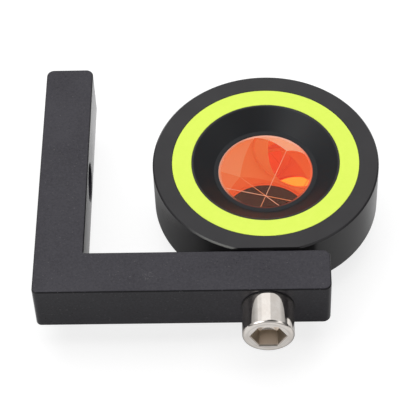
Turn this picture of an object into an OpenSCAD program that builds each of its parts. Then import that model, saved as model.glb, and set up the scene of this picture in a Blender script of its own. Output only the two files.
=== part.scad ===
// Small corner prism in a round sighting head, clamped to an L shaped bar.
// The bar is bolted to a wall through a bore in its wall arm. The head turns
// about the clamp screw in the front arm, so it can be aimed up or down.
// Millimetres, +Z along the line of sight. The origin is the middle of the
// wall bore, where it meets the wall. The line of sight crosses its axis.

/* [L bar] */
// Length of the front arm past the axis of the clamp screw
arm_past_screw = 16.2; // [12:0.2:30]
// Length of the wall arm past the axis of the wall bore
arm_past_bore = 34.2; // [20:0.2:55]
// Thickness of the front arm, along the clamp screw
front_arm_w = 12.5; // [10:0.1:16]
// Thickness of the wall arm, along the wall bore
wall_arm_w = 12.8; // [10:0.1:16]
// Height of both arms
bar_h = 14.7; // [14:0.1:18]
// Rounding of the long edges
edge_r = 0.45; // [0.2:0.05:0.8]
// Corner radius at the free ends of both arms, seen from above
end_r = 2; // [0.8:0.1:3]
// Corner radius of the elbow, seen from above
elbow_r = 1.4; // [0.3:0.1:2]

/* [Wall bore] */
// Diameter of the bore for the wall bolt
wall_bore_d = 10.5; // [8:0.1:11]
// Broken edge at both mouths of the bore
wall_bore_bevel = 0.3; // [0.1:0.05:0.6]

/* [Sighting head] */
// Distance of the line of sight, and of the clamp screw, from the wall
reach = 60; // [56:1:64]
// Outer diameter of the head
head_d = 60; // [58:0.5:64]
// Thickness of the head
head_t = 16; // [15:0.1:18]
// Bevel of both rims of the head
rim_bevel = 0.4; // [0.2:0.05:0.8]
// Depth of the flat that faces the front arm
flat_cut = 1.4; // [1:0.1:2]
// Wall of the barrel behind the head
barrel_wall = 2.4; // [1.8:0.1:3]

/* [Sighting ring] */
// Outer diameter of the bright ring
ring_od = 49.6; // [48:0.2:54]
// Inner diameter of the bright ring
ring_id = 39.4; // [38:0.2:42]
// Thickness of the bright ring
ring_t = 1; // [0.6:0.1:1.4]
// Gap on both sides of the bright ring
ring_gap = 0.06; // [0.04:0.01:0.15]

/* [Funnel and lip] */
// Width of the wall between the ring and the funnel
land_w = 0.4; // [0.3:0.05:0.8]
// Depth of the funnel below the face
funnel_depth = 4.1; // [3.6:0.1:5]
// Width of the flat lip at the foot of the funnel
lip_w = 1.2; // [0.8:0.1:2]
// Thickness of the lip in front of the prism
lip_t = 0.3; // [0.2:0.1:1]
// Clear aperture inside the lip
clear_d = 25.2; // [24:0.1:25.4]

/* [Prism] */
// Diameter of the glass prism
prism_d = 25.6; // [25.5:0.1:27]
// Straight wall of the glass above the middle of each facet
prism_land = 0.45; // [0.1:0.05:1]
// Turn of the prism about the line of sight, in degrees
prism_turn = 3; // [0:1:119]
// Free space behind the tip of the prism
tip_gap = 0.65; // [0.4:0.05:2]

/* [Prism cell] */
// Section of the sealing ring in front of the sleeve
front_seal_t = 1; // [0.8:0.1:1.4]
// Thickness of the cushion behind the prism
cushion_t = 4.5; // [3:0.1:5]
// Plate thickness of the disc spring
spring_t = 0.5; // [0.3:0.1:0.6]
// Height of the disc spring
spring_h = 1.1; // [0.8:0.1:1.4]
// Inner diameter of the disc spring
spring_id = 17; // [14:0.5:20]
// Thickness of the threaded lock ring
lock_ring_t = 2.2; // [1.8:0.1:3]
// Inner diameter of the threaded lock ring
lock_ring_id = 18; // [16:0.5:21]
// Width of the spanner slots in the lock ring
lock_slot_w = 2; // [1.5:0.1:3]
// Depth of the spanner slots in the lock ring
lock_slot_depth = 1; // [0.6:0.1:1.4]

/* [Rear cap] */
// Thickness of the rear cap
cap_t = 1.6; // [1.2:0.1:3]
// Length of the cap's spigot inside the barrel
spigot_l = 1.6; // [1.4:0.1:2.5]
// Wall of the cap's spigot, at its inner end
spigot_wall = 3; // [2:0.1:4]
// Section of the sealing ring on the cap's spigot
cap_seal_t = 0.9; // [0.7:0.1:1]
// Bevel around the rear cap
cap_bevel = 0.5; // [0.2:0.1:0.8]
// Diameter of the two spanner holes in the cap
spanner_d = 2.2; // [1.5:0.1:3]
// Depth of the spanner holes
spanner_depth = 0.8; // [0.5:0.1:0.9]
// Distance between the spanner holes
spanner_pitch = 20; // [16:0.5:22]

/* [Clamp screw] */
// Shank diameter of the screw
screw_d = 8; // [6:0.5:8]
// Length of thread that grips the head
screw_grip = 7.8; // [6:0.1:8.5]
// Diameter of the screw's head
screw_head_d = 13.3; // [12.5:0.1:13.5]
// Height of the screw's head
screw_head_h = 9; // [7:0.1:10]
// Rounding of the head's front rim
screw_rim_r = 0.8; // [0.4:0.1:1.1]
// Width across the flats of the hexagonal socket
key_af = 8; // [6:0.5:8]
// Depth of the hexagonal socket
key_depth = 5; // [4:0.1:6]
// Conical mouth of the hexagonal socket
key_mouth = 0.1; // [0.05:0.05:0.4]
// Depth of the drill point below the socket
drill_point_h = 1.1; // [0.5:0.1:1.5]
// Thickness of the washer under the screw's head
head_washer_t = 0.3; // [0.2:0.1:1.5]
// How far that washer stands out past the head
head_washer_rim = 0.2; // [0.1:0.1:0.5]
// Thickness of the slip washer between bar and head
slip_washer_t = 0.28; // [0.2:0.02:1]
// Outer diameter of the slip washer
slip_washer_d = 14; // [12:0.5:15]
// Wall of the threaded insert in the head
insert_wall = 1; // [0.8:0.1:1.5]
// Length of insert beyond the screw's tip
insert_spare = 0.7; // [0.4:0.1:1]

/* [Fits] */
// Clearance all round the screw in the bar, the insert and the washers
screw_fit = 0.05; // [0.03:0.01:0.1]
// Clearance between the slip washer and the flat of the head
slip_gap = 0.02; // [0.01:0.01:0.05]
// Clearance all round the pieces in the prism cell
cell_fit = 0.04; // [0.02:0.01:0.08]

/* [Hidden] */
$fn = 96;
// Small overshoot of a cut past the face that it opens
past = 1;
// Flat of the head, front face of the bar and face under the screw's head
flat_y = -(head_d / 2 - flat_cut);
arm_back_y = flat_y - slip_gap - slip_washer_t;
front_y = arm_back_y - front_arm_w;
seat_y = front_y - head_washer_t;
// Lengths of the arms, measured over the elbow
front_arm_l = reach + arm_past_screw;
wall_arm_l = arm_past_bore - front_y;
// Radii of the head, from the ring groove inwards
groove_ro = ring_od / 2 + ring_gap;
groove_ri = ring_id / 2 - ring_gap;
mouth_r = groove_ri - land_w;
lip_ro = clear_d / 2 + lip_w;
prism_r = prism_d / 2;
cell_r = prism_r + front_seal_t;
barrel_r = cell_r + barrel_wall;
// For each millimetre away from the tip, the middle of a facet rises by the
// square root of two, and the edge between two facets by half of that
facet_rise = sqrt(2);
edge_rise = facet_rise / 2;
tip_tilt = atan(facet_rise);
// Heights along the line of sight, from the face of the head backwards
face_z = head_t / 2;
lip_z = face_z - funnel_depth;
glass_z = lip_z - lip_t;
tip_z = glass_z - prism_land - facet_rise * prism_r;
seal_z = glass_z - front_seal_t;
cushion_z = tip_z + edge_rise * prism_r;
spring_z = cushion_z - cushion_t;
lock_z = spring_z - spring_h;
lock_end_z = lock_z - lock_ring_t;
barrel_end_z = min(tip_z - tip_gap, lock_end_z - spigot_l);
cap_end_z = barrel_end_z - cap_t;
// Screw and insert
screw_r = screw_d / 2;
shank_r = screw_r + screw_fit;
tip_y = flat_y + screw_grip;
insert_r = screw_r + insert_wall;
insert_end_y = tip_y + insert_spare;
// Distance from the middle to a corner of the hexagonal socket
key_r = key_af / sqrt(3);
// Neck of the cap's spigot, a little longer than its sealing ring
seal_room = 0.1;
neck_r = cell_r - cap_seal_t;
neck_z = barrel_end_z + cap_seal_t + seal_room;

// Puts a round piece that is drawn along +Z onto the screw's axis, at depth y
module on_screw_axis(y) {
    translate([reach, y, 0]) rotate([-90, 0, 0]) children();
}

// Ring of rectangular section
module ring(r_out, r_in, h) {
    difference() {
        cylinder(r = r_out, h = h);
        translate([0, 0, -past]) cylinder(r = r_in, h = h + 2 * past);
    }
}

// Sealing ring of round section
module seal_ring(r_mid, section) {
    rotate_extrude() translate([r_mid, 0]) circle(d = section, $fn = 32);
}

// What is cut off to round the lower left corner of an outline
module corner_off(r) {
    difference() {
        translate([-past, -past]) square(r + past);
        translate([r, r]) circle(r = r);
    }
}

// Rectangle with all four corners rounded
module soft_rect(w, h, r) {
    difference() {
        square([w, h]);
        corner_off(r);
        translate([w, 0]) rotate(90) corner_off(r);
        translate([w, h]) rotate(180) corner_off(r);
        translate([0, h]) rotate(270) corner_off(r);
    }
}

// Straight bar from the origin, with its long edges and end edges rounded
module soft_bar(lx, ly, h) {
    intersection() {
        rotate([90, 0, 90]) linear_extrude(lx) soft_rect(ly, h, edge_r);
        translate([0, ly, 0]) rotate([90, 0, 0]) linear_extrude(ly) soft_rect(lx, h, edge_r);
    }
}

// The L seen from above, with its outer corners rounded
module bar_outline() {
    difference() {
        union() {
            square([front_arm_l, front_arm_w]);
            square([wall_arm_w, wall_arm_l]);
        }
        corner_off(elbow_r);
        translate([front_arm_l, 0]) rotate(90) corner_off(end_r);
        translate([front_arm_l, front_arm_w]) rotate(180) corner_off(end_r);
        translate([wall_arm_w, wall_arm_l]) rotate(180) corner_off(end_r);
        translate([0, wall_arm_l]) rotate(270) corner_off(end_r);
    }
}

// Bevel at the mouth of the wall bore, drawn along +X from the wall face
module bore_mouth() {
    r = wall_bore_d / 2;
    rotate([0, 90, 0]) cylinder(r1 = r + wall_bore_bevel, r2 = r, h = wall_bore_bevel);
}

module l_bar() {
    color([0.17, 0.17, 0.18]) difference() {
        translate([0, front_y, -bar_h / 2]) intersection() {
            linear_extrude(bar_h) bar_outline();
            union() {
                soft_bar(front_arm_l, front_arm_w, bar_h);
                soft_bar(wall_arm_w, wall_arm_l, bar_h);
            }
        }
        translate([-past, 0, 0]) rotate([0, 90, 0]) cylinder(d = wall_bore_d, h = wall_arm_w + 2 * past);
        bore_mouth();
        translate([wall_arm_w, 0, 0]) mirror([1, 0, 0]) bore_mouth();
        on_screw_axis(front_y - past) cylinder(r = shank_r, h = front_arm_w + 2 * past);
    }
}

module slip_washer() {
    color([0.12, 0.12, 0.12]) on_screw_axis(arm_back_y) ring(slip_washer_d / 2, shank_r, slip_washer_t);
}

module head_washer() {
    color([0.06, 0.06, 0.06]) on_screw_axis(seat_y)
        ring(screw_head_d / 2 + head_washer_rim, shank_r, head_washer_t);
}

// Socket screw: head with a rounded rim, hexagonal socket and plain shank
module clamp_screw() {
    head_r = screw_head_d / 2;
    rim = screw_rim_r;
    color([0.8, 0.78, 0.75]) on_screw_axis(seat_y - screw_head_h) difference() {
        union() {
            translate([0, 0, rim]) cylinder(r = head_r, h = screw_head_h - rim);
            cylinder(r = head_r - rim, h = screw_head_h);
            translate([0, 0, rim]) rotate_extrude() translate([head_r - rim, 0]) circle(r = rim, $fn = 48);
            cylinder(r = screw_r, h = screw_head_h + tip_y - seat_y);
        }
        translate([0, 0, -past]) cylinder(r = key_r, h = key_depth + past, $fn = 6);
        cylinder(r1 = key_r + key_mouth, r2 = key_r - key_mouth, h = 2 * key_mouth);
        translate([0, 0, key_depth]) cylinder(d1 = key_af, d2 = 0, h = drill_point_h);
    }
}

// Half section of the head and its barrel, turned about the line of sight
module housing_section() {
    head_r = head_d / 2;
    back_z = -face_z;
    groove_z = face_z - ring_t;
    polygon([
        [lip_ro, lip_z], [mouth_r, face_z],
        [groove_ri, face_z], [groove_ri, groove_z],
        [groove_ro, groove_z], [groove_ro, face_z],
        [head_r - rim_bevel, face_z], [head_r, face_z - rim_bevel],
        [head_r, back_z + rim_bevel], [head_r - rim_bevel, back_z],
        [barrel_r, back_z], [barrel_r, barrel_end_z],
        [cell_r, barrel_end_z], [cell_r, glass_z],
        [clear_d / 2, glass_z], [clear_d / 2, lip_z]
    ]);
}

module housing() {
    cut_w = 2 * head_d;
    color([0.17, 0.17, 0.17]) difference() {
        translate([reach, 0, 0]) rotate_extrude() housing_section();
        translate([reach - head_d, flat_y - head_d, -head_d]) cube([cut_w, head_d, cut_w]);
        on_screw_axis(flat_y - past) cylinder(r = insert_r, h = insert_end_y - flat_y + past);
    }
}

module thread_insert() {
    color([0.6, 0.6, 0.6]) on_screw_axis(flat_y) ring(insert_r, shank_r, insert_end_y - flat_y);
}

module sighting_ring() {
    color([0.8, 0.95, 0.15]) translate([reach, 0, face_z - ring_t]) ring(ring_od / 2, ring_id / 2, ring_t);
}

module front_seal() {
    color([0.1, 0.1, 0.1]) translate([reach, 0, glass_z - front_seal_t / 2])
        seal_ring(prism_r + front_seal_t / 2, front_seal_t - 2 * cell_fit);
}

// Corner of a cube that stands on its tip, with the tip at height z
module cube_corner(z) {
    side = 4 * prism_r;
    translate([0, 0, z]) rotate(prism_turn) rotate([0, -tip_tilt, 0]) rotate(-45) cube(side);
}

module corner_prism() {
    color([0.9, 0.4, 0.25]) translate([reach, 0, 0]) intersection() {
        translate([0, 0, tip_z]) cylinder(r = prism_r, h = glass_z - tip_z);
        cube_corner(tip_z);
    }
}

module centring_sleeve() {
    color([0.92, 0.92, 0.9]) translate([reach, 0, cushion_z])
        ring(cell_r - cell_fit, prism_r + cell_fit, seal_z - cushion_z);
}

// Soft ring whose hollow follows the three facets of the prism
module prism_cushion() {
    color([0.25, 0.25, 0.25]) translate([reach, 0, 0]) difference() {
        translate([0, 0, spring_z]) cylinder(r = cell_r - cell_fit, h = cushion_t - cell_fit);
        cube_corner(tip_z - 2 * cell_fit);
    }
}

module disc_spring() {
    r_in = spring_id / 2;
    r_out = cell_r - 2 * cell_fit;
    drop = spring_h - spring_t;
    color([0.6, 0.6, 0.62]) translate([reach, 0, lock_z]) rotate_extrude()
        polygon([[r_in, drop], [r_out, 0], [r_out, spring_t], [r_in, spring_h]]);
}

module lock_ring() {
    r_out = cell_r - cell_fit;
    color([0.3, 0.3, 0.3]) translate([reach, 0, lock_end_z]) difference() {
        ring(r_out, lock_ring_id / 2, lock_ring_t);
        translate([-cell_r - past, -lock_slot_w / 2, -past])
            cube([2 * (cell_r + past), lock_slot_w, lock_slot_depth + past]);
    }
}

module cap_seal() {
    color([0.1, 0.1, 0.1]) translate([reach, 0, barrel_end_z + (cap_seal_t + seal_room) / 2])
        seal_ring(cell_r - cap_seal_t / 2, cap_seal_t - 2 * cell_fit);
}

// Cap with a bevelled plate and a spigot that carries the sealing ring
module rear_cap() {
    spigot_r = cell_r - cell_fit;
    spigot_ri = cell_r - spigot_wall;
    color([0.17, 0.17, 0.17]) translate([reach, 0, 0]) difference() {
        rotate_extrude() polygon([
            [0, cap_end_z], [barrel_r - cap_bevel, cap_end_z],
            [barrel_r, cap_end_z + cap_bevel], [barrel_r, barrel_end_z],
            [neck_r, barrel_end_z], [neck_r, neck_z], [spigot_r, neck_z],
            [spigot_r, barrel_end_z + spigot_l], [spigot_ri, barrel_end_z + spigot_l],
            [spigot_ri, barrel_end_z], [0, barrel_end_z]
        ]);
        for (side = [-1, 1]) translate([side * spanner_pitch / 2, 0, cap_end_z - past])
            cylinder(d = spanner_d, h = spanner_depth + past);
    }
}

l_bar();
slip_washer();
head_washer();
clamp_screw();
housing();
thread_insert();
sighting_ring();
front_seal();
corner_prism();
centring_sleeve();
prism_cushion();
disc_spring();
lock_ring();
cap_seal();
rear_cap();
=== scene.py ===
"""Looks of the corner prism in its sighting head on an L shaped bar.

Everything is in metres in the frame's own axes: +Z along the line of sight, +X away from the wall,
+Y along the wall arm. New pieces are turned or carried surfaces worked out with numpy.
"""
import math

import bmesh
import bpy
import numpy as np
from mathutils import Matrix, Vector


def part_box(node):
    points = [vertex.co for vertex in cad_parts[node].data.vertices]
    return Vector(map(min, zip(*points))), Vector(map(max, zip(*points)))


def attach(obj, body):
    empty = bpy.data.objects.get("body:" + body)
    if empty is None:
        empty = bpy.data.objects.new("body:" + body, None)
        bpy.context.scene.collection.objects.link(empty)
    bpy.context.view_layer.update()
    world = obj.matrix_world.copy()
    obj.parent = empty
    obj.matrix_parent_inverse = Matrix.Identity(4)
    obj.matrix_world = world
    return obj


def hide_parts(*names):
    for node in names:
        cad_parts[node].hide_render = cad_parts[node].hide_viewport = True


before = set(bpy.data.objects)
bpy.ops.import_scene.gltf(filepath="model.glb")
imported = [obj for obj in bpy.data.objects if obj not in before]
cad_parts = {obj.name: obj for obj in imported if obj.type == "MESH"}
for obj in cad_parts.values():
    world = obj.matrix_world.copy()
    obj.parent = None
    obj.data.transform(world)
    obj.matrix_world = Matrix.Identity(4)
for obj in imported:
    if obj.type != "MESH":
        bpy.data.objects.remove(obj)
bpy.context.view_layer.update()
MM = 0.001

# Places taken from the frame
HEAD_LOW, HEAD_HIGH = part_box("housing")
RING_LOW, RING_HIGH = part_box("sighting_ring")
PRISM_LOW, PRISM_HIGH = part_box("corner_prism")
BAR_LOW, BAR_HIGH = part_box("l_bar")
SCREW_LOW, SCREW_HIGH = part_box("clamp_screw")
WASHER_LOW, WASHER_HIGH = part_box("head_washer")
CAP_LOW, CAP_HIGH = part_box("rear_cap")
INSERT_LOW, INSERT_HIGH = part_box("thread_insert")
FACE_Z = HEAD_HIGH.z
HEAD_R = HEAD_HIGH.y
FLAT_R = -HEAD_LOW.y
RING_RO = RING_HIGH.y
GLASS_Z = PRISM_HIGH.z
TIP_Z = PRISM_LOW.z
PRISM_R = PRISM_HIGH.y
BARREL_R = CAP_HIGH.y
BARREL_END_Z = HEAD_LOW.z
FLOOR_Z = CAP_LOW.z - 0.05 * MM

# The line of sight and the screw's axis cross here
CROSSING = ((RING_LOW.x + RING_HIGH.x) / 2, 0, 0)

# Sizes that the boxes of the frame don't give
FRONT_ARM_W = 12.5 * MM
WALL_ARM_W = 12.8 * MM
WALL_BORE_R = 5.25 * MM
SCREW_BORE_R = 4.05 * MM
RING_RI = 19.7 * MM
RING_GAP = 0.06 * MM
FUNNEL_R = RING_RI - RING_GAP - 0.4 * MM
CLEAR_R = 12.6 * MM
CELL_R = PRISM_R + 1.0 * MM
SOCKET_AF = 8 * MM
SOCKET_R = SOCKET_AF / math.sqrt(3)
SOCKET_DEPTH = 5 * MM
SOCKET_MOUTH = 0.3 * MM
DRILL_SLOPE = 0.6
CONE_DEPTH = SOCKET_DEPTH + SOCKET_AF / 2 * DRILL_SLOPE


# Outlines and profiles

def fillet_path(corners, steps):
    """Path through corners (u, v, radius): one with a radius becomes an arc that touches its two sides."""
    points = []
    for index, (u, v, radius) in enumerate(corners):
        here = np.array([u, v], float)
        if radius <= 0 or index in (0, len(corners) - 1):
            points.append(here[None])
            continue
        before = np.array(corners[index - 1][:2], float) - here
        after = np.array(corners[index + 1][:2], float) - here
        before = before / np.linalg.norm(before)
        after = after / np.linalg.norm(after)
        half = math.acos(np.clip(before @ after, -1, 1)) / 2
        middle = (before + after) / np.linalg.norm(before + after)
        centre = here + middle * radius / math.sin(half)
        start = here + before * radius / math.tan(half) - centre
        end = here + after * radius / math.tan(half) - centre
        turn = math.atan2(start[0] * end[1] - start[1] * end[0], start @ end)
        angle = np.linspace(0, turn, steps + 1)[:, None]
        across = np.array([-start[1], start[0]])
        points.append(centre + np.cos(angle) * start + np.sin(angle) * across)
    return np.concatenate(points)


def even_angles(count, *extra):
    """Angles round the full circle, with some exact ones (in radians) worked in."""
    angles = np.concatenate([np.arange(count) * 2 * math.pi / count, np.mod(extra, 2 * math.pi)])
    return np.unique(np.round(angles, 7))


# Meshes

def make_object(name, vertices, faces, materials, material_index=None):
    """Object at the origin from vertices and faces, doubles merged and normals turned outwards."""
    mesh = bpy.data.meshes.new(name)
    mesh.from_pydata(np.asarray(vertices).tolist(), [], [list(face) for face in faces])
    if material_index is not None:
        mesh.polygons.foreach_set("material_index", np.asarray(material_index, np.int32))
    for material in materials:
        mesh.materials.append(material)
    shape = bmesh.new()
    shape.from_mesh(mesh)
    bmesh.ops.remove_doubles(shape, verts=shape.verts, dist=1e-7)
    bmesh.ops.recalc_face_normals(shape, faces=shape.faces)
    shape.to_mesh(mesh)
    shape.free()
    piece = bpy.data.objects.new(name, mesh)
    bpy.context.scene.collection.objects.link(piece)
    return piece


def grid_faces(rows, columns, closed_rows=False):
    """Quads between neighbouring rows of a grid whose columns close round; rows may close as well."""
    row = np.arange(rows if closed_rows else rows - 1)[:, None]
    column = np.arange(columns)[None, :]
    after_row, after_column = (row + 1) % rows, (column + 1) % columns
    quads = [row * columns + column, row * columns + after_column,
             after_row * columns + after_column, after_row * columns + column]
    return np.stack(np.broadcast_arrays(*quads), -1).reshape(-1, 4)


def turned(name, radius, height, angles, origin, material, closed_rows=False, axis="z"):
    """Surface of revolution: row i and angle a give (radius[i, a] cos a, radius[i, a] sin a, height[i, a]).

    That is for the axis +Z. For "y" the height runs along +Y and the angle starts at +X, and for "x" the
    height runs along +X and the angle starts at -Z.
    """
    rows, columns = len(radius), len(angles)
    radius = np.broadcast_to(radius, (rows, columns))
    height = np.broadcast_to(height, (rows, columns))
    across, up = radius * np.cos(angles), radius * np.sin(angles)
    points = {"x": [height, up, -across], "y": [across, height, up], "z": [across, up, height]}[axis]
    vertices = np.stack(points, -1).reshape(-1, 3) + np.array(origin)
    return make_object(name, vertices, grid_faces(rows, columns, closed_rows), [material])


def profile_turned(name, profile, count, origin, material, closed_rows=False, axis="z"):
    """Surface of revolution of a plain profile of (radius, height) points, with so many columns."""
    profile = np.asarray(profile)
    radius, height = profile[:, :1], profile[:, 1:]
    return turned(name, radius, height, even_angles(count), origin, material, closed_rows, axis)


def cut(piece, *cutters):
    """Takes the closed cutters out of a piece, for good, and removes them."""
    for cutter in cutters:
        modifier = piece.modifiers.new("cut", "BOOLEAN")
        modifier.operation = "DIFFERENCE"
        modifier.solver = "EXACT"
        modifier.object = cutter
    graph = bpy.context.evaluated_depsgraph_get()
    mesh = bpy.data.meshes.new_from_object(piece.evaluated_get(graph))
    piece.modifiers.clear()
    piece.data = mesh
    for cutter in cutters:
        bpy.data.objects.remove(cutter)


def finish_piece(piece, body, node, sharp=14):
    """Smooth shading, crisp edges past an angle, flat faces kept flat, and the piece's place in the frame."""
    piece.data.shade_smooth()
    piece.data.set_sharp_from_angle(angle=math.radians(sharp))
    even = piece.modifiers.new("even_normals", "WEIGHTED_NORMAL")
    even.keep_sharp = True
    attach(piece, body)
    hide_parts(node)


# Shader maths

class Value:
    """A number socket. Operators on it add Math nodes to its tree."""

    def __init__(self, tree, socket):
        self.tree = tree
        self.socket = socket

    def math(self, operation, *others):
        """A Math node on this number and others."""
        return self.tree.add("ShaderNodeMath", {"operation": operation}, dict(enumerate((self,) + others)))

    def __add__(self, other):
        return self.math("ADD", other)

    __radd__ = __add__

    def __mul__(self, other):
        return self.math("MULTIPLY", other)

    __rmul__ = __mul__

    def __sub__(self, other):
        return self.math("SUBTRACT", other)

    def __rsub__(self, other):
        return self * -1 + other

    def __pow__(self, other):
        return self.math("POWER", other)

    def __abs__(self):
        return self.math("ABSOLUTE")


class Tree:
    """Nodes of one finish, of the floor or of the world."""

    def __init__(self, owner):
        owner.use_nodes = True
        self.nodes = owner.node_tree.nodes
        self.links = owner.node_tree.links
        self.nodes.clear()

    def add(self, kind, settings=None, sockets=None, out=0):
        """Any node: settings first, then the values or links of its sockets. Gives one of its outputs."""
        node = self.nodes.new(kind)
        for name, setting in (settings or {}).items():
            setattr(node, name, setting)
        for name, given in (sockets or {}).items():
            if isinstance(given, Value):
                self.links.new(given.socket, node.inputs[name])
            else:
                node.inputs[name].default_value = given
        return Value(self, node.outputs[out]) if node.outputs else node

    def place(self, centre=(0, 0, 0), stretch=(1, 1, 1)):
        """Place on the piece in millimetres from a centre in metres, stretched along the axes."""
        scale = tuple(factor / MM for factor in stretch)
        location = tuple(-middle * factor for middle, factor in zip(centre, scale))
        coordinates = self.add("ShaderNodeTexCoord", out="Object")
        return self.add("ShaderNodeMapping", {},
                        {"Vector": coordinates, "Scale": scale, "Location": location})

    def parts(self, vector):
        """The three numbers of a vector."""
        first = self.add("ShaderNodeSeparateXYZ", {}, {0: vector})
        return [Value(self, output) for output in first.socket.node.outputs]

    def radius(self, place, axes=(0, 1)):
        """Distance from the axis through the centre of a place."""
        numbers = self.parts(place)
        first, second = numbers[axes[0]], numbers[axes[1]]
        return (first * first + second * second) ** 0.5

    def noise(self, place, scale, detail=2, roughness=0.5, dimensions="3D"):
        """Noise about 0.5, with scale in cycles per millimetre."""
        coordinate = "W" if dimensions == "1D" else "Vector"
        return self.add("ShaderNodeTexNoise", {"noise_dimensions": dimensions},
                        {coordinate: place, "Scale": scale, "Detail": detail, "Roughness": roughness})

    def ramp(self, value, low, high, first=0.0, last=1.0, smooth=True):
        """Goes from first to last as value goes from low to high."""
        kind = "SMOOTHSTEP" if smooth else "LINEAR"
        return self.add("ShaderNodeMapRange", {"interpolation_type": kind},
                        {"Value": value, "From Min": low, "From Max": high, "To Min": first, "To Max": last})

    def blend(self, first, last, share):
        """Colour between two colours or links. Inputs 6 and 7 and output 2 are the node's colour sockets."""
        colours = [c if isinstance(c, Value) else (*c, 1) for c in (first, last)]
        return self.add("ShaderNodeMix", {"data_type": "RGBA"},
                        {"Factor": share, 6: colours[0], 7: colours[1]}, out=2)

    def bump(self, height, metres):
        """Bump from a height between 0 and 1 that stands for so many metres."""
        return self.add("ShaderNodeBump", {}, {"Height": height, "Distance": metres, "Strength": 1.0})

    def surface(self, **sockets):
        """The finish itself. Underscores in the names stand for spaces."""
        named = {name.replace("_", " "): given for name, given in sockets.items()}
        shader = self.add("ShaderNodeBsdfPrincipled", {}, named)
        self.add("ShaderNodeOutputMaterial", {}, {"Surface": shader})


def new_finish(name):
    """An empty finish and its tree."""
    material = bpy.data.materials.new(name)
    return material, Tree(material)


# Finishes. Places and distances in them are in millimetres from the crossing of the axes

def anodised_bar():
    """Black anodised, fine blasted aluminium: cloudy tone, fine grain and pale flecks, with painted shade on
    the rounded long edges.

    A few nicks lie together on top of the front arm. Places are counted from the frame's origin here.
    """
    material, tree = new_finish("anodised_bar")
    place = tree.place()
    top, nicks_place = BAR_HIGH.z / MM, (29.6, -36.4, 7.3)
    clouds = tree.noise(place, 0.07, 2)
    grain = tree.noise(place, 4.0, 2, 0.5)
    speck = tree.noise(place, 1.6, 2, 0.6)
    from_nicks = tree.add("ShaderNodeVectorMath", {"operation": "DISTANCE"},
                          {0: place, 1: nicks_place}, out="Value")
    nicks = (1 - tree.ramp(from_nicks, 0.8, 1.8)) * tree.ramp(tree.noise(place, 2.6, 1, 0.5), 0.56, 0.66)
    fleck = tree.ramp(tree.noise(place, 1.9, 1, 0.5), 0.68, 0.76)
    fleck = fleck.math("MAXIMUM", nicks * 1.5)
    level = abs(tree.parts(place)[2])
    # Painted shade: a dark line on the rounded long edges, standing in for a dark reflection there
    edge = tree.ramp(level, top - 0.42, top - 0.35) * (1 - tree.ramp(level, top - 0.09, top - 0.01))
    tone = clouds * 0.3 + speck * 0.4 + grain * 0.3
    ground = tree.blend((0.024, 0.022, 0.029), (0.043, 0.041, 0.050), tree.ramp(tone, 0.35, 0.65))
    ground = tree.blend(ground, (0.004, 0.0035, 0.005), edge)
    tree.surface(
        Base_Color=tree.blend(ground, (0.080, 0.078, 0.084), fleck),
        Roughness=tree.ramp(tone, 0.3, 0.7, 0.27, 0.33),
        Specular_IOR_Level=0.35,
        Normal=tree.bump(grain * 0.7 + speck * 0.3, 2.2e-6),
    )
    return material


def anodised_head():
    """Black anodised, turned aluminium: fine rings about the line of sight on a smooth ground.

    The funnel is darker and more matt, and a painted highlight lies on the front bevel over a short arc.
    """
    material, tree = new_finish("anodised_head")
    place = tree.place(CROSSING)
    face, rim, mouth = FACE_Z / MM, HEAD_R / MM, FUNNEL_R / MM
    distance = tree.radius(place)
    across, along, height = tree.parts(place)
    lay = tree.noise(distance + height * 1.3, 7.0, 3, 0.6, "1D")
    clouds = tree.noise(place, 0.12, 3)
    grain = tree.noise(place, 6.0, 2, 0.6)
    tone = clouds * 0.5 + lay * 0.3 + grain * 0.2
    black = tree.blend((0.024, 0.023, 0.025), (0.031, 0.030, 0.032), tree.ramp(tone, 0.35, 0.65))
    funnel = (1 - tree.ramp(distance, mouth - 0.3, mouth)) * tree.ramp(height, 0, 1)
    # Painted highlight on the front bevel, over a short arc in front and to the left
    bevel = tree.ramp(distance, rim - 0.44, rim - 0.38) * tree.ramp(height, face - 0.5, face - 0.4)
    arc = (1 - tree.ramp(along, -24, -19)) * tree.ramp(across, -23, -13) * (1 - tree.ramp(across, -8, -5))
    black = tree.blend(black, (0.15, 0.15, 0.142), bevel * arc)
    tree.surface(
        Base_Color=tree.blend(black, (0.0105, 0.0115, 0.0135), funnel),
        Roughness=tree.ramp(tone, 0.3, 0.7, 0.27, 0.33) + funnel * 0.15,
        Specular_IOR_Level=0.35,
        Normal=tree.bump(lay * 0.6 + grain * 0.4, 1.6e-6),
    )
    return material


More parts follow.
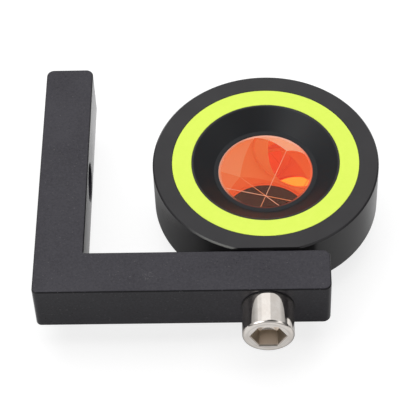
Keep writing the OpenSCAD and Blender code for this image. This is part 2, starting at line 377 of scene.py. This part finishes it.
def nickel_plate():
    """Bright nickel on a turned steel screw: faint turning marks and a slightly warm tone.

    The socket is matt, with painted shade that darkens it towards its end and on its side flats, and it is
    darker on its broken edge.
    The cone of the drilled hole at its end is bright.
    """
    material, tree = new_finish("nickel_plate")
    place = tree.place(CROSSING)
    corner, mouth, cone_depth = SOCKET_R / MM, SOCKET_MOUTH / MM, CONE_DEPTH / MM
    across, along, _ = tree.parts(place)
    distance = tree.radius(place, (0, 2))
    depth = along - SCREW_LOW.y / MM
    lay = tree.noise(along, 6.0, 3, 0.6, "1D")
    clouds = tree.noise(place, 0.5, 3)
    grain = tree.noise(place, 9.0, 2)
    plated = tree.blend((0.86, 0.80, 0.745), (0.92, 0.87, 0.82), tree.ramp(clouds, 0.35, 0.65))
    # Painted shade in the socket: darker towards its end and on its side flats
    dark = (0.52, 0.475, 0.415)
    socket = tree.blend((0.82, 0.75, 0.685), dark, tree.ramp(depth, 0.4, 4.6, smooth=False))
    socket = tree.blend(socket, dark, tree.ramp(abs(across), corner / 2 - 0.11, corner / 2 + 0.39))
    socket = tree.blend((0.5, 0.45, 0.4), socket, tree.ramp(depth, mouth - 0.02, mouth + 0.1))
    cone = tree.ramp(depth + distance * DRILL_SLOPE, cone_depth - 0.1, cone_depth - 0.02)
    socket = tree.blend(socket, (0.92, 0.84, 0.76), cone)
    inside = (1 - tree.ramp(distance, corner + 0.03, corner + 0.33)) * tree.ramp(depth, 0.01, 0.08)
    matt = inside * (1 - cone) * tree.ramp(depth, mouth - 0.05, mouth + 0.05)
    tree.surface(
        Base_Color=tree.blend(plated, socket, inside),
        Metallic=1.0,
        Roughness=tree.ramp(clouds * 0.6 + grain * 0.4, 0.3, 0.7, 0.05, 0.1) + matt * 0.4,
        Normal=tree.bump(lay * 0.6 + clouds * 0.4, 1.2e-6),
    )
    return material


def black_washer():
    """Moulded black nylon washer."""
    material, tree = new_finish("black_washer")
    place = tree.place(CROSSING)
    mottle = tree.noise(place, 1.2, 4, 0.6)
    tree.surface(
        Base_Color=tree.blend((0.010, 0.0095, 0.010), (0.019, 0.018, 0.018), mottle),
        Roughness=tree.ramp(mottle, 0.3, 0.7, 0.38, 0.5),
        Specular_IOR_Level=0.4,
        Normal=tree.bump(tree.noise(place, 7.0, 2), 1.5e-6),
    )
    return material


def signal_yellow():
    """Bright yellow-green paint in the ring, with a hint of orange peel and fine pigment grain."""
    material, tree = new_finish("signal_yellow")
    place = tree.place(CROSSING)
    peel = tree.noise(place, 0.7, 2)
    grain = tree.noise(place, 5.0, 2, 0.6)
    tone = tree.ramp(peel * 0.55 + grain * 0.45, 0.35, 0.65)
    tree.surface(
        Base_Color=tree.blend((0.775, 0.97, 0.12), (0.80, 0.985, 0.135), tone),
        Roughness=tree.ramp(tone, 0, 1, 0.5, 0.58),
        Specular_IOR_Level=0.3,
        Normal=tree.bump(peel * 0.6 + grain * 0.4, 3e-6),
    )
    return material


def moulded(name, dark, light, roughness, grain_scale=4.0, **constants):
    """A moulded material: cloudy tone between two colours and a fine matt grain."""
    material, tree = new_finish(name)
    place = tree.place(CROSSING)
    clouds = tree.noise(place, 0.4, 3)
    grain = tree.noise(place, grain_scale, 2, 0.6)
    tone = tree.ramp(clouds * 0.6 + grain * 0.4, 0.35, 0.65)
    tree.surface(
        Base_Color=tree.blend(dark, light, tone),
        Roughness=tree.ramp(tone, 0, 1, roughness - 0.04, roughness + 0.04),
        Normal=tree.bump(grain, 4e-6),
        **constants,
    )
    return material


def turned_steel(name, dark, light, roughness, axis="z"):
    """Bare steel with turning marks about the line of sight, or along the clamp screw's axis for "y"."""
    material, tree = new_finish(name)
    place = tree.place(CROSSING)
    numbers = tree.parts(place)
    across = tree.radius(place) if axis == "z" else tree.radius(place, (0, 2))
    along = numbers[2] if axis == "z" else numbers[1]
    lay = tree.noise(across + along * 1.3, 6.0, 3, 0.6, "1D")
    clouds = tree.noise(place, 0.5, 3)
    tree.surface(
        Base_Color=tree.blend(dark, light, tree.ramp(clouds * 0.5 + lay * 0.5, 0.3, 0.7)),
        Metallic=1.0,
        Roughness=tree.ramp(lay, 0.3, 0.7, roughness - 0.05, roughness + 0.05),
        Normal=tree.bump(lay, 2e-6),
    )
    return material


def prism_front():
    """Polished and bloomed front of the glass, with the faintest trace of wiping."""
    material, tree = new_finish("prism_front")
    place = tree.place(CROSSING, (1, 0.4, 1))
    wiping = tree.ramp(tree.noise(place, 0.35, 4, 0.6), 0.4, 0.75)
    tree.surface(
        Base_Color=tree.blend((1.0, 1.0, 1.0), (0.985, 0.99, 1.0), wiping),
        Roughness=0.0,
        Transmission_Weight=1.0,
        IOR=1.517,
        Thin_Film_Thickness=42.0,
        Thin_Film_IOR=1.38,
    )
    return material


def prism_copper():
    """Copper coating on the back of the three facets, seen through the glass."""
    material, tree = new_finish("prism_copper")
    place = tree.place(CROSSING)
    across = tree.parts(place)[0]
    clouds = tree.noise(place, 0.18, 2)
    share = tree.ramp(across + clouds * 4, -12, 16, smooth=False)
    tree.surface(
        Base_Color=tree.blend((0.975, 0.63, 0.42), (0.975, 0.645, 0.33), share),
        Metallic=1.0,
        Roughness=tree.ramp(clouds, 0.3, 0.7, 0.0, 0.012),
    )
    return material


def prism_rim():
    """Ground rim of the front face: white towards the glass, and the coating's light seen from outside.

    That light is strong on the left and behind, and dim in front and on the right. Its outermost strip,
    beside the lip, has tones of its own.
    """
    material, tree = new_finish("prism_rim")
    place = tree.place(CROSSING)
    clear = CLEAR_R / MM
    across, along, _ = tree.parts(place)
    grain = tree.noise(place, 2.0, 2, 0.6)
    strong = tree.ramp(along * 0.8 - across * 0.6 + grain * 2, -4, 6)
    outer = tree.ramp(tree.radius(place), clear - 0.24, clear - 0.12)
    back = tree.ramp(along + across, 3, 10)
    right = tree.ramp(across, 4, 9) * tree.ramp(along, -14, -2)
    bright_inner = tree.blend((0.84, 0.27, 0.15), (1.0, 0.47, 0.34), back)
    bright = tree.blend(bright_inner, (1.0, 0.52, 0.40), outer)
    dim_inner = tree.blend((0.14, 0.05, 0.04), (0.98, 0.17, 0.075), right)
    dim_outer = tree.blend((0.40, 0.17, 0.14), (0.66, 0.14, 0.08), right)
    dim = tree.blend(dim_inner, dim_outer, outer)
    light = tree.blend(dim, bright, strong)
    inside = tree.add("ShaderNodeNewGeometry", out="Backfacing")
    tree.surface(
        Base_Color=tree.blend(light, (0.98, 0.96, 0.94), inside),
        Roughness=0.9,
        Specular_IOR_Level=0.0,
        Normal=tree.bump(grain, 3e-6),
    )
    return material


def ground_glass(name, dark, light):
    """Ground glass of the prism's wall, or of the narrow bevels along its edges."""
    material, tree = new_finish(name)
    place = tree.place(CROSSING)
    grain = tree.noise(place, 6.0, 2, 0.6)
    tree.surface(
        Base_Color=tree.blend(dark, light, grain),
        Roughness=0.9,
        Specular_IOR_Level=0.0,
        Normal=tree.bump(grain, 3e-6),
    )
    return material


BAR_FINISH = anodised_bar()
HEAD_FINISH = anodised_head()
NICKEL = nickel_plate()
WASHER_BLACK = black_washer()
YELLOW = signal_yellow()
SLIP = moulded("slip_polymer", (0.012, 0.012, 0.013), (0.02, 0.02, 0.021), 0.5)
RUBBER = moulded("seal_rubber", (0.016, 0.016, 0.017), (0.028, 0.028, 0.03), 0.7, Specular_IOR_Level=0.35)
NYLON = moulded("white_nylon", (0.76, 0.76, 0.73), (0.84, 0.84, 0.81), 0.42, 3.0)
SILICONE = moulded("cushion_silicone", (0.09, 0.095, 0.1), (0.13, 0.135, 0.14), 0.6, 2.5)
SPRING = turned_steel("spring_steel", (0.42, 0.42, 0.43), (0.56, 0.55, 0.54), 0.3)
INSERT = turned_steel("insert_steel", (0.50, 0.48, 0.45), (0.62, 0.60, 0.56), 0.32, "y")
PRISM_FINISHES = [
    prism_front(), prism_copper(), ground_glass("prism_wall", (0.98, 0.94, 0.97), (0.99, 0.96, 0.99)),
    prism_rim(), ground_glass("prism_bevel", (0.88, 0.60, 0.47), (0.93, 0.66, 0.53)),
]

# Places in that list
GLASS_FRONT, COPPER, GLASS_WALL, GLASS_RIM, GLASS_BEVEL = range(5)


# L bar: the outline is carried inwards and upwards round its rounded long edges

BAR_EDGE = 0.45 * MM
BAR_END_R = 2 * MM
ELBOW_R = 1.4 * MM
INNER_R = 0.25 * MM


def bar_outline(inset):
    """Outline of the L, seen from above, moved inwards: every corner keeps its centre and changes its radius.

    Each corner is (x, y, radius, angle at which its arc starts). The arc of the inner corner, whose radius is
    negative, runs the other way round.
    """
    low_x, low_y, high_x, high_y = BAR_LOW.x, BAR_LOW.y, BAR_HIGH.x, BAR_HIGH.y
    back_y, side_x = low_y + FRONT_ARM_W, WALL_ARM_W
    turn = math.pi / 2
    corners = [
        (low_x, low_y, ELBOW_R, 2 * turn), (high_x, low_y, BAR_END_R, 3 * turn),
        (high_x, back_y, BAR_END_R, 0), (side_x, back_y, -INNER_R, 3 * turn),
        (side_x, high_y, BAR_END_R, 0), (low_x, high_y, BAR_END_R, turn),
    ]
    points = []
    for x, y, radius, start in corners:
        sense = math.copysign(1, radius)
        angle = start + sense * np.linspace(0, turn, 11)
        middle = start + sense * turn / 2
        diagonal = abs(radius) * math.sqrt(2)
        centre = np.array([x - diagonal * math.cos(middle), y - diagonal * math.sin(middle)])
        reach = abs(radius) - sense * inset
        points.append(centre + reach * np.stack([np.cos(angle), np.sin(angle)], -1))
    return np.concatenate(points)


def bore_cutter(name, radius, mouth, start, end, middle, axis):
    """Closed cutter for a bore with a 45 degree mouth at both ends, standing a little proud of them."""
    proud = 1 * MM
    profile = [(0, start - proud), (radius + mouth + proud, start - proud), (radius + mouth, start),
               (radius, start + mouth), (radius, end - mouth), (radius + mouth, end),
               (radius + mouth + proud, end + proud), (0, end + proud)]
    return profile_turned(name, profile, 128, middle, BAR_FINISH, axis=axis)


def make_bar():
    """Rows of the bar's surface: inset edge_r (1 - sin t) at height edge_r (1 - cos t) from each face."""
    tilt = np.linspace(0, math.pi / 2, 7)
    inset = BAR_EDGE * (1 - np.sin(tilt))
    drop = BAR_EDGE * (1 - np.cos(tilt))
    rows = [(i, BAR_LOW.z + d) for i, d in zip(inset, drop)]
    rows += [(i, BAR_HIGH.z - d) for i, d in zip(inset[::-1], drop[::-1])]
    layers = []
    for row_inset, z in rows:
        outline = bar_outline(row_inset)
        layers.append(np.column_stack([outline, np.full(len(outline), z)]))
    columns = len(layers[0])
    faces = [tuple(face) for face in grid_faces(len(rows), columns)]
    faces.append(tuple(range(columns))[::-1])
    faces.append(tuple(range((len(rows) - 1) * columns, len(rows) * columns)))
    bar = make_object("l_bar_dressed", np.concatenate(layers), faces, [BAR_FINISH])
    low, high = BAR_LOW.y, BAR_LOW.y + FRONT_ARM_W
    wall_bore = bore_cutter("wall_bore_cutter", WALL_BORE_R, 0.3 * MM, 0, WALL_ARM_W, (0, 0, 0), "x")
    screw_bore = bore_cutter("screw_bore_cutter", SCREW_BORE_R, 0.15 * MM, low, high, CROSSING, "y")
    cut(bar, wall_bore, screw_bore)
    finish_piece(bar, "bar", "l_bar")


make_bar()


# Sighting head: half section turned about the line of sight, limited by the flat

def make_housing():
    """Each row stands at the nearer of its circle R and its flat D / cos(angle from the flat)."""
    face, back = FACE_Z / MM, -FACE_Z / MM
    head, bevel = HEAD_R / MM, 0.4
    ring_ro, ring_ri, groove = (RING_RO + RING_GAP) / MM, (RING_RI - RING_GAP) / MM, RING_LOW.z / MM
    mouth, clear, lip_ro = FUNNEL_R / MM, CLEAR_R / MM, 13.8
    glass, lip_z = GLASS_Z / MM, GLASS_Z / MM + 0.3
    cell, barrel, end = CELL_R / MM, BARREL_R / MM, BARREL_END_Z / MM
    corners = [
        (clear, lip_z - 0.15, 0), (clear, lip_z, 0.05), (lip_ro, lip_z, 0.12),
        (mouth, face, 0.06), (ring_ri, face, 0.05), (ring_ri, groove, 0), (ring_ro, groove, 0),
        (ring_ro, face, 0.06), (head - bevel, face, 0.12), (head, face - bevel, 0.12),
        (head, back + bevel, 0.12), (head - bevel, back, 0.12), (barrel, back, 0.3),
        (barrel, end, 0.1), (cell, end, 0.08), (cell, glass, 0), (clear, glass, 0.03),
        (clear, lip_z - 0.15, 0),
    ]
    path = fillet_path(corners, 6)[:-1] * MM
    radius, height = path[:, :1], path[:, 1:]
    flat_edge = 0.12 * MM
    from_face = np.minimum(FACE_Z - height, height + FACE_Z)
    level = np.clip(from_face / flat_edge, 0, 1)
    flat_depth = FLAT_R - flat_edge * (1 - np.sqrt(1 - (1 - level) ** 2))
    down = -math.pi / 2
    flat_ends = [math.acos(FLAT_R / MM / r) for r in (head, head - bevel)]
    angles = even_angles(288, *[down + sign * flat_end for flat_end in flat_ends for sign in (-1, 1)])
    off = np.mod(angles - down + math.pi, 2 * math.pi) - math.pi
    near = np.abs(off) < math.pi / 3
    lean = np.where(near, np.cos(off), 1)
    limit = np.where(near[None, :], flat_depth / lean[None, :], np.inf)
    radius = np.minimum(radius, limit)
    head_piece = turned("housing_dressed", radius, height, angles, CROSSING, HEAD_FINISH, closed_rows=True)
    insert_r, open_end, closed_end = INSERT_HIGH.z, INSERT_LOW.y - 1 * MM, INSERT_HIGH.y
    profile = [(0, open_end), (insert_r, open_end), (insert_r, closed_end), (0, closed_end)]
    pocket = profile_turned("insert_pocket", profile, 96, CROSSING, HEAD_FINISH, axis="y")
    cut(head_piece, pocket)
    finish_piece(head_piece, "head", "housing")


make_housing()


def rectangular_section(inner, outer, low, high, outer_edge, inner_edge, steps):
    """Closed section of a ring, from the middle of its outer side round and back to it, with broken edges."""
    start = (outer, (low + high) / 2, 0)
    corners = [start, (outer, high, outer_edge), (inner, high, inner_edge), (inner, low, inner_edge),
               (outer, low, outer_edge), start]
    return fillet_path(corners, steps)[:-1]


def make_ring():
    """Bright ring, level with the face of the head."""
    section = rectangular_section(RING_RI, RING_RO, RING_LOW.z, RING_HIGH.z, 0.06 * MM, 0.06 * MM, 4)
    ring = profile_turned("sighting_ring_dressed", section, 256, CROSSING, YELLOW, closed_rows=True)
    finish_piece(ring, "head", "sighting_ring")


make_ring()


# Corner prism: front, wall, three facets and a narrow ground bevel along each edge between two facets

def make_prism():
    """At radius r the glass ends at tip + sqrt(2) r cos(angle from a facet's middle), or at an edge's bevel.

    A bevel lies at tip + rise + v / sqrt(2), where v runs along the edge, seen from above.
    """
    edge_angle = np.radians([63, 183, 303])
    third = 2 * math.pi / 3
    rise = 0.09 * MM
    half_width = rise / (math.sqrt(2) * math.sin(math.pi / 3))
    rim_w, broken = 0.8 * MM, 0.15 * MM
    spread = math.asin(half_width / PRISM_R)
    angles, kinds = [], []
    for edge in edge_angle:
        arc = np.linspace(edge + spread, edge + third - spread, 82)[1:-1]
        angles += [edge - spread, edge, edge + spread, *arc]
        kinds += [GLASS_BEVEL, GLASS_BEVEL, COPPER] + [COPPER] * len(arc)
    angles = np.array(angles)
    columns = len(angles)
    off_facet = np.mod(angles - edge_angle[0], third) - third / 2
    off_edge = np.mod(angles - edge_angle[0] + third / 2, third) - third / 2
    facet = math.sqrt(2) * PRISM_R * np.cos(off_facet)
    bevel = PRISM_R * np.cos(off_edge) / math.sqrt(2) + rise
    wall_end = TIP_Z + np.maximum(facet, bevel)
    facet_start = half_width / math.sin(math.pi / 3)
    at_edge = np.abs(off_edge) < 1e-6
    inner_r = np.where(at_edge, 0, facet_start)
    inner_z = TIP_Z + np.where(at_edge, rise, math.sqrt(2) * facet_start)
    rows = [
        (0, GLASS_Z, angles), (PRISM_R - rim_w, GLASS_Z, angles), (PRISM_R - broken, GLASS_Z, angles),
        (PRISM_R, GLASS_Z - broken, angles), (PRISM_R, wall_end, angles),
        (inner_r, inner_z, angles - off_facet),
    ]
    points = [np.broadcast_arrays(r * np.cos(a) + CROSSING[0], r * np.sin(a), z) for r, z, a in rows]
    vertices = np.concatenate([np.stack(point, -1) for point in points])
    row_kinds = [GLASS_FRONT, GLASS_RIM, GLASS_RIM, GLASS_WALL]
    index = np.concatenate([np.repeat(row_kinds, columns), kinds])
    faces = grid_faces(len(rows), columns)
    prism = make_object("corner_prism_dressed", vertices, faces, PRISM_FINISHES, index)
    prism.data.shade_flat()
    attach(prism, "head")
    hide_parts("corner_prism")


make_prism()


# Clamp screw: head with a rounded rim, hexagonal socket, shank and thread

def make_screw():
    """The socket's flats stand at (AF / 2) / cos(angle from a flat), between a broken edge and a cone.

    The thread's rows stand at root + depth * tooth(height / pitch - angle / turn), and fade in at its start.
    """
    front, seat, tip = SCREW_LOW.y, WASHER_LOW.y, SCREW_HIGH.y
    head_r, head_rim, head_edge = SCREW_HIGH.z, 0.8 * MM, 0.06 * MM
    shank, shank_edge = 4 * MM, 0.05 * MM
    pitch, thread_depth, thread_l, plain_end = 1.25 * MM, 0.6 * MM, 9 * MM, 1.0 * MM
    angles = even_angles(240)
    off_flat = np.mod(angles, math.pi / 3) - math.pi / 6
    blunt_corner = SOCKET_R * 0.992
    wall = np.minimum(SOCKET_AF / 2 / np.cos(off_flat), blunt_corner)
    wall_end = front + SOCKET_DEPTH - (wall - SOCKET_AF / 2) * DRILL_SLOPE
    rows = [(0, front + CONE_DEPTH), (wall, wall_end), (wall, front + SOCKET_MOUTH),
            (wall + SOCKET_MOUTH, front), (SOCKET_R + SOCKET_MOUTH + 0.05 * MM, front)]
    turned_ring = [(5.05 * MM, front), (5.2 * MM, front + 0.04 * MM), (5.35 * MM, front)]
    rows += turned_ring
    for t in np.linspace(0, math.pi / 2, 9):
        rows.append((head_r - head_rim * (1 - math.sin(t)), front + head_rim * (1 - math.cos(t))))
    rows += [(head_r, seat - head_edge), (head_r - head_edge, seat),
             (shank + shank_edge, seat), (shank, seat + shank_edge)]
    start = tip - thread_l
    for y in np.arange(start, tip - plain_end, pitch / 10):
        phase = np.mod(y / pitch - angles / (2 * math.pi), 1)
        tooth = np.clip(np.abs(phase - 0.5) * 4 - 0.5, 0, 1)
        fade = min(1, (y - start) / pitch)
        rows.append((shank - thread_depth * fade * (1 - tooth), y))
    root, point = shank - thread_depth, 0.3 * MM
    rows += [(root, tip - plain_end + 0.05 * MM), (root, tip - point), (root - point, tip), (0, tip)]
    radius = np.stack([row_radius + 0 * angles for row_radius, _ in rows])
    height = np.stack([row_height + 0 * angles for _, row_height in rows])
    screw = turned("clamp_screw_dressed", radius, height, angles, CROSSING, NICKEL, axis="y")
    finish_piece(screw, "screw", "clamp_screw", sharp=20)


make_screw()


def make_washer():
    """Washer under the screw's head, with rounded edges."""
    section = rectangular_section(SCREW_BORE_R, WASHER_HIGH.z, WASHER_LOW.y, WASHER_HIGH.y,
                                  0.08 * MM, 0.06 * MM, 5)
    washer = profile_turned("head_washer_dressed", section, 160, CROSSING, WASHER_BLACK,
                            closed_rows=True, axis="y")
    finish_piece(washer, "washer", "head_washer")


make_washer()


def make_rear_cap():
    """Cap with a bevelled plate and a hollow spigot, and two blind spanner holes."""
    low, plate, top = CAP_LOW.z / MM, BARREL_END_Z / MM, CAP_HIGH.z / MM
    outer, bevel = BARREL_R / MM, 0.5
    spigot, neck, hollow = CELL_R / MM - 0.04, CELL_R / MM - 0.9, CELL_R / MM - 3
    neck_z = plate + 1.0
    corners = [(0, low, 0), (outer - bevel, low, 0.15), (outer, low + bevel, 0.15), (outer, plate, 0.1),
               (neck, plate, 0), (neck, neck_z, 0), (spigot, neck_z, 0.06),
               (spigot, top, 0.15), (hollow, top, 0.1), (hollow, plate, 0.2), (0, plate, 0)]
    cap = profile_turned("rear_cap_dressed", fillet_path(corners, 5) * MM, 192, CROSSING, HEAD_FINISH)
    hole_r, hole_edge, hole_depth, proud = 1.1, 0.1, 0.8, 1.0
    hole = [(0, -proud), (hole_r + hole_edge + proud, -proud), (hole_r + hole_edge, 0),
            (hole_r, hole_edge), (hole_r, hole_depth), (0, hole_depth + 0.5)]
    from_axis = 10 * MM
    holes = []
    for side in (-1, 1):
        origin = (CROSSING[0] + side * from_axis, 0, CAP_LOW.z)
        holes.append(profile_turned("spanner_hole_%d" % side, np.array(hole) * MM, 48, origin, HEAD_FINISH))
    cut(cap, *holes)
    finish_piece(cap, "head", "rear_cap")


make_rear_cap()


# CAD nodes that keep their own mesh and take a finish

for node, finish in {
    "slip_washer": SLIP, "thread_insert": INSERT, "front_seal": RUBBER, "centring_sleeve": NYLON,
    "prism_cushion": SILICONE, "disc_spring": SPRING, "lock_ring": HEAD_FINISH, "cap_seal": RUBBER,
}.items():
    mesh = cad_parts[node].data
    mesh.materials.clear()
    mesh.materials.append(finish)


# Floor, light and camera. The camera's right, up and back directions are fitted to the photograph

CAMERA_PLACE = Vector((0.057209, -0.324076, 0.405379))
CAMERA_RIGHT = Vector((0.99948675, 0.00650556, -0.0313675))
CAMERA_UP = Vector((0.01421607, 0.787397, 0.61628229))
CAMERA_BACK = Vector((0.02870794, -0.61641191, 0.78690038))
CAMERA_LENS = 173.8277


def make_floor():
    """Plain pale floor. The camera sees it a little lighter, so that it runs into the white background.

    What shines sees a painted glow in it, with painted light and painted shadow from place to place: lighter
    behind the head, to the right of it and beside the wall arm, painted shadow between that arm and the head
    and in front of the bar, darker far to the right and lighter far in front. Places are in millimetres.
    """
    material, tree = new_finish("pale_floor")
    place = tree.place()
    grain = tree.noise(place, 0.8, 2)
    diffuse = tree.add("ShaderNodeBsdfDiffuse", {}, {
        "Color": tree.blend((0.34, 0.34, 0.34), (0.36, 0.36, 0.36), grain)})
    seen = tree.add("ShaderNodeLightPath", out="Is Camera Ray")
    mirrored = tree.add("ShaderNodeLightPath", out="Is Glossy Ray")
    across, along, _ = tree.parts(place)
    # Painted light and painted shadow on the floor, seen only in reflections
    behind = tree.ramp(along, 0, 40)
    right = tree.ramp(across, 84, 94) * tree.ramp(along, -12, 4) * (1 - tree.ramp(along, 40, 90))
    beside_arm = (1 - tree.ramp(across, 14.5, 18)) * tree.ramp(along, -42, -30)
    beside_arm = beside_arm * tree.ramp(along, -20, 5, 0.42, 0.75)
    between = tree.ramp(across, 14.5, 18) * (1 - tree.ramp(across, 58, 76)) * tree.ramp(along, -42, -30)
    between = between * (1 - behind)
    painted_shadow_in_front = tree.ramp(along, -62, -48) * (1 - tree.ramp(along, -44, -36))
    painted_shadow_in_front = painted_shadow_in_front * tree.ramp(across, 30, 76, 0.12, 0.26)
    far_right = tree.ramp(across, 120, 170)
    far_front = 1 - tree.ramp(along, -66, -62)
    shine = 0.3 + behind * 0.4 + right * 0.3 + beside_arm - between * 0.26 - painted_shadow_in_front
    shine = shine - far_right * 0.35 + far_front * 0.1
    glow = tree.add("ShaderNodeEmission", {}, {"Strength": seen * 0.78 + mirrored * shine})
    both = tree.add("ShaderNodeAddShader", {}, {0: diffuse, 1: glow})
    tree.add("ShaderNodeOutputMaterial", {}, {"Surface": both})
    reach = 2.0
    corners = [(-reach, -reach, FLOOR_Z), (reach, -reach, FLOOR_Z), (reach, reach, FLOOR_Z),
               (-reach, reach, FLOOR_Z)]
    floor = make_object("floor", corners, [(0, 1, 2, 3)], [material])


def make_world():
    """White for the camera, a studio for what shines, another for the glass, and a dim even light besides.

    The studio has an onlooker at the camera, a dark board overhead, panels behind, dim ends, a dim lower
    part and horizon, and a bright window. The glass sees white with a smaller onlooker, a small lamp and a
    wide brighter part at the right.
    """
    world = bpy.data.worlds.new("white_room")
    bpy.context.scene.world = world
    tree = Tree(world)
    direction = tree.add("ShaderNodeTexCoord", out="Generated")
    side, ahead, above = tree.parts(direction)

    def near(centre, outer, inner):
        """1 within so many degrees of a direction, and 0 outside a wider angle."""
        dot = tree.add("ShaderNodeVectorMath", {"operation": "DOT_PRODUCT"},
                       {0: direction, 1: tuple(Vector(centre).normalized())}, out="Value")
        return tree.ramp(dot, math.cos(math.radians(outer)), math.cos(math.radians(inner)))

    camera = tree.add("ShaderNodeLightPath", out="Is Camera Ray")
    glossy = tree.add("ShaderNodeLightPath", out="Is Glossy Ray")
    through = tree.add("ShaderNodeLightPath", out="Is Transmission Ray")
    onlooker = near(CAMERA_BACK, 38, 22) * 0.7
    overhead = near((0.3, -0.1, 0.95), 28, 19) * 0.9
    behind = tree.ramp(ahead, 0.2, 0.35)
    panels = tree.ramp(side, 0.13, 0.17) * 0.33 + tree.ramp(side, -0.33, -0.45) * 0.18
    panels = (panels + tree.ramp(side, -0.58, -0.62) * 0.24) * behind
    ends = tree.ramp(side, 0.78, 0.9) * 0.8 + tree.ramp(side, -0.8, -0.92) * 0.4
    low = (1 - tree.ramp(above, 0.3, 0.55)) * 0.36
    horizon = (1 - tree.ramp(above, 0.08, 0.24)) * 0.7
    window = near((-0.56, -0.55, 0.62), 24, 15) * 1.5
    room = (1 - onlooker) * (1 - overhead) * (1 - panels) * (1 - ends)
    room = room * (1 - low) * (1 - horizon) + window
    small_lamp = near((-0.346, -0.096, 0.933), 1.9, 0.8) * 2.3
    glass = 1 - near(CAMERA_BACK, 6, 4.5) * 0.975 + small_lamp
    glass = glass + near((0.6, 0.45, 0.66), 48, 34) * 0.25
    seen = glossy.math("MAXIMUM", through)
    shown = glass * through + room * (1 - through)
    ambient = 0.4 * (1 - tree.ramp(ahead, 0, -0.5) * 0.72)
    white = camera + (1 - camera) * (seen * shown + (1 - seen) * ambient)
    background = tree.add("ShaderNodeBackground", {}, {"Color": (1, 1, 1, 1), "Strength": white})
    tree.add("ShaderNodeOutputWorld", {}, {"Surface": background})


def make_lamp(name, direction, distance, size, power):
    """Square soft light that looks at the head from a direction. Only matt surfaces take its light."""
    data = bpy.data.lights.new(name, "AREA")
    data.shape = "SQUARE"
    data.size = size
    data.energy = power
    lamp = bpy.data.objects.new(name, data)
    target = Vector((0.045, 0, 0))
    towards = Vector(direction).normalized()
    lamp.location = target + towards * distance
    lamp.rotation_euler = towards.to_track_quat("Z", "Y").to_euler()
    lamp.visible_camera = False
    lamp.visible_glossy = False
    lamp.visible_transmission = False
    bpy.context.scene.collection.objects.link(lamp)


def make_camera():
    """Camera at the photograph's angle: its right, up and back directions are the columns of its matrix."""
    data = bpy.data.cameras.new("camera")
    data.sensor_width = 36
    data.lens = CAMERA_LENS
    data.clip_start = 0.01
    camera = bpy.data.objects.new("camera", data)
    turn = Matrix((CAMERA_RIGHT, CAMERA_UP, CAMERA_BACK)).transposed()
    camera.matrix_world = Matrix.Translation(CAMERA_PLACE) @ turn.to_4x4()
    bpy.context.scene.collection.objects.link(camera)
    bpy.context.scene.camera = camera


make_floor()
make_world()
make_lamp("softbox", (-0.05, 0.25, 0.97), distance=0.9, size=1.1, power=7.35)
make_lamp("side_light", (-0.62, -0.41, 0.67), distance=0.8, size=0.5, power=1.0)
make_camera()

scene = bpy.context.scene
scene.view_settings.view_transform = "Standard"

# Long paths between glass and copper, and mirror images in them that stay sharp
scene.cycles.max_bounces = 64
scene.cycles.diffuse_bounces = 24
scene.cycles.glossy_bounces = 48
scene.cycles.transmission_bounces = 24
scene.cycles.blur_glossy = 0
